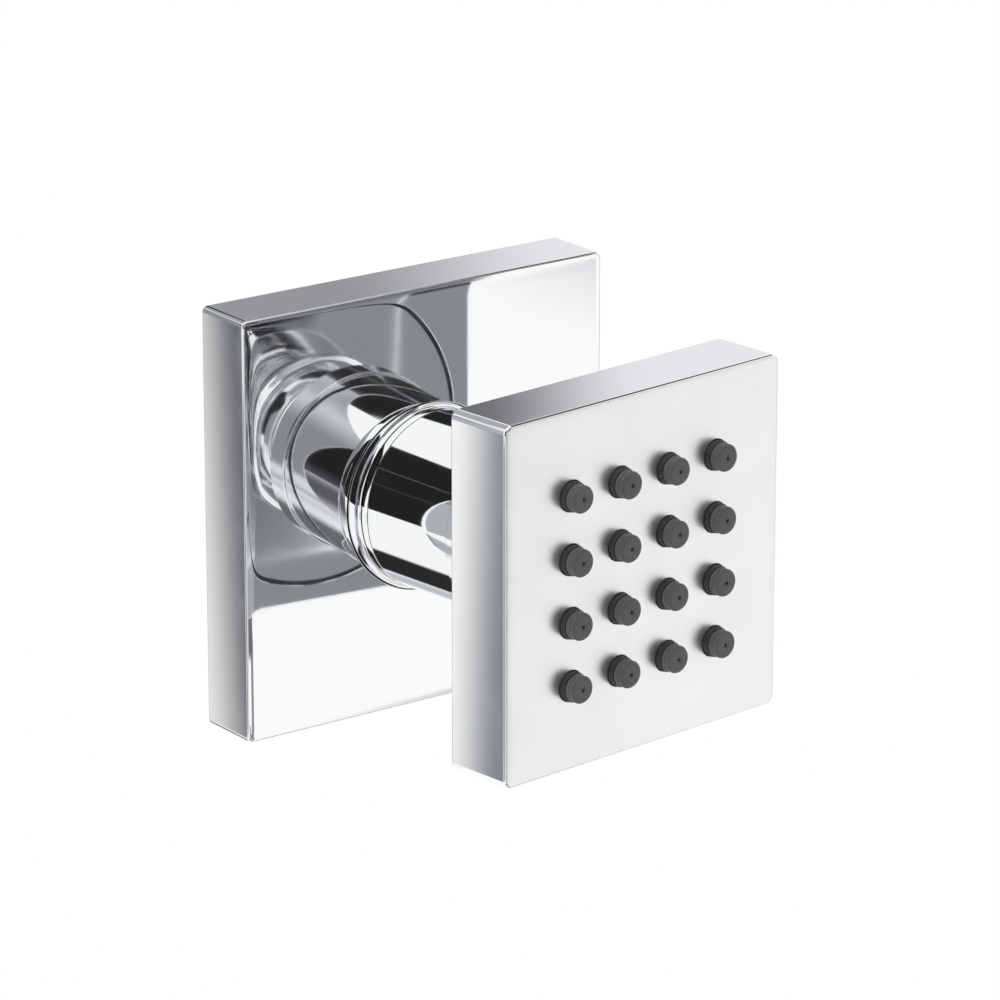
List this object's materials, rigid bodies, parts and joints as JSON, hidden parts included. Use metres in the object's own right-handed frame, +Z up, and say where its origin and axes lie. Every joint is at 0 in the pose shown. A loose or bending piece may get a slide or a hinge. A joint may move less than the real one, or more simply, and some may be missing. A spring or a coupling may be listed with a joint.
{
  "type": "shower body jet",
  "caption": "Square wall-mounted shower body jet: chromed wall plate, round swivelling neck on a ball joint, and square spray head with a grid of rubber nozzles.",
  "frame": {"origin": "centre of the wall plate's rear face, on the inlet's axis, in the plane of the wall", "axes": "+Z is up, +Y points into the wall along the inlet, the spray leaves towards -Y, and +X is to the right seen from the front"},
  "size_m": [0.06, 0.0709, 0.06],
  "materials": {
    "chrome": "mirror polished chrome plating on brass",
    "brass": "turned brass",
    "nozzle_rubber": "matt moulded silicone rubber, dark grey",
    "seal_rubber": "black nitrile rubber",
    "foam": "closed cell foam",
    "stainless": "punched stainless sheet",
    "white_plastic": "moulded acetal, white"
  },
  "bodies": {
    "wall_side": {"wall_plate": "chrome", "wall_gasket": "foam", "inlet_body": "brass", "plate_ring": "seal_rubber", "filter_washer": "seal_rubber", "filter_mesh": "stainless", "flow_regulator": "white_plastic", "regulator_ring": "seal_rubber"},
    "rear_seat": {"rear_ball_seat": "white_plastic"},
    "front_seal": {"front_ball_seal": "seal_rubber"},
    "spray_head": {"swivel_nut": "chrome", "neck_body": "chrome", "neck_washer": "seal_rubber", "trim_ring": "chrome", "connector": "chrome", "head_shell": "chrome", "back_cover": "chrome", "cover_ring": "seal_rubber", "spreader_plate": "white_plastic", "nozzle_mat": "nozzle_rubber"}
  },
  "joints": [
    {"name": "neck_pan", "type": "hinge", "parent": "wall_side", "child": "rear_seat", "pos_m": [0, -0.01, 0], "axis": [0, 0, 1], "range_deg": [-18.5, 5.5]},
    {"name": "neck_tilt", "type": "hinge", "parent": "rear_seat", "child": "front_seal", "pos_m": [0, -0.01, 0], "axis": [0.9936, 0.1132, 0], "range_deg": [-12, 12]},
    {"name": "head_spin", "type": "hinge", "parent": "front_seal", "child": "spray_head", "pos_m": [0, -0.01, 0], "axis": [0.1132, -0.9936, 0], "continuous": true}
  ]
}
